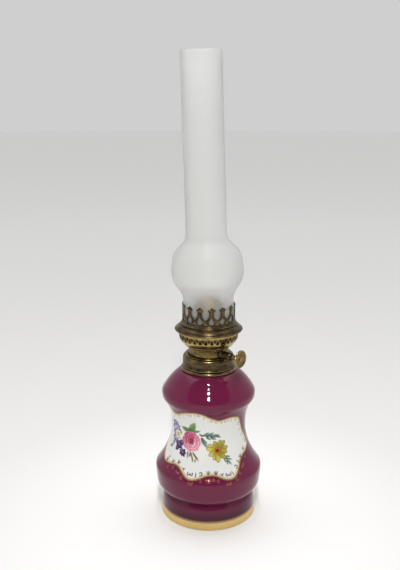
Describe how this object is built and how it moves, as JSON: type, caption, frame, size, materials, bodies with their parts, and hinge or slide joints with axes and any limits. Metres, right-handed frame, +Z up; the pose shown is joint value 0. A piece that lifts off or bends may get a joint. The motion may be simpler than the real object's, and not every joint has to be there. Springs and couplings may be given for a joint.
{
  "type": "table oil lamp",
  "caption": "Table oil lamp: waisted porcelain font, screw-in brass flat-wick burner with a side knob, pronged gallery and a tall frosted chimney with a bulge.",
  "frame": {"origin": "centre of the foot ring, on the surface the lamp stands on", "axes": "+Z up along the lamp; +X along the wick-raiser shaft towards its knob; the painted panel faces between +X and -Y"},
  "size_m": [0.0982, 0.0982, 0.4174],
  "materials": {
    "maroon_porcelain": "glossy maroon glaze with a white painted panel and a gilt foot line",
    "setting_plaster": "dull off-white plaster",
    "aged_brass": "darkened old brass sheet, rubbed bright on the edges",
    "knob_brass": "brass kept brighter by handling",
    "washer_leather": "dark oily leather",
    "cotton_wick": "flat woven cotton",
    "frosted_glass": "acid-frosted clear glass"
  },
  "bodies": {
    "font": {"porcelain_font": "maroon_porcelain", "collar_cement": "setting_plaster", "font_collar": "aged_brass"},
    "washer": {"burner_washer": "washer_leather"},
    "burner": {"burner_drum": "aged_brass", "burner_neck": "aged_brass", "shaft_boss": "aged_brass", "wick_tube": "aged_brass", "vent_tube": "aged_brass", "wheel_housing": "aged_brass", "air_basket": "aged_brass", "diffuser_plate": "aged_brass"},
    "raiser": {"wick_shaft": "knob_brass", "wick_wheel_1": "aged_brass", "wick_wheel_2": "aged_brass", "wick_wheel_3": "aged_brass", "knob_disc": "knob_brass", "knob_rivet": "knob_brass"},
    "wick_strip": {"wick": "cotton_wick"},
    "gallery": {"gallery_flange": "aged_brass", "chimney_crown": "aged_brass", "deflector_dome": "aged_brass"},
    "chimney": {"glass_chimney": "frosted_glass"}
  },
  "joints": [
    {"name": "burner_rise", "type": "slide", "parent": "font", "child": "washer", "axis": [0, 0, 1], "range_m": [0, 0.00688]},
    {"name": "burner_turn", "type": "hinge", "parent": "washer", "child": "burner", "pos_m": [0, 0, 0.1426], "axis": [0, 0, 1], "range_deg": [0, 990]},
    {"name": "knob_turn", "type": "hinge", "parent": "burner", "child": "raiser", "pos_m": [0, -0.005, 0.1581], "axis": [1, 0, 0], "range_deg": [-89, 119]},
    {"name": "wick_raise", "type": "slide", "parent": "burner", "child": "wick_strip", "axis": [0, 0, 1], "range_m": [-0.006, 0.008]},
    {"name": "gallery_lift", "type": "slide", "parent": "burner", "child": "gallery", "axis": [0, 0, 1], "range_m": [0, 0.034]},
    {"name": "chimney_lift", "type": "slide", "parent": "gallery", "child": "chimney", "axis": [-0.024, -0.0203, 0.9995], "range_m": [0, 0.045]}
  ],
  "couplings": [
    {"joint": "burner_rise", "follows": "burner_turn", "m_per_rad": 0.00039789},
    {"joint": "wick_raise", "follows": "knob_turn", "m_per_rad": 0.00385}
  ]
}
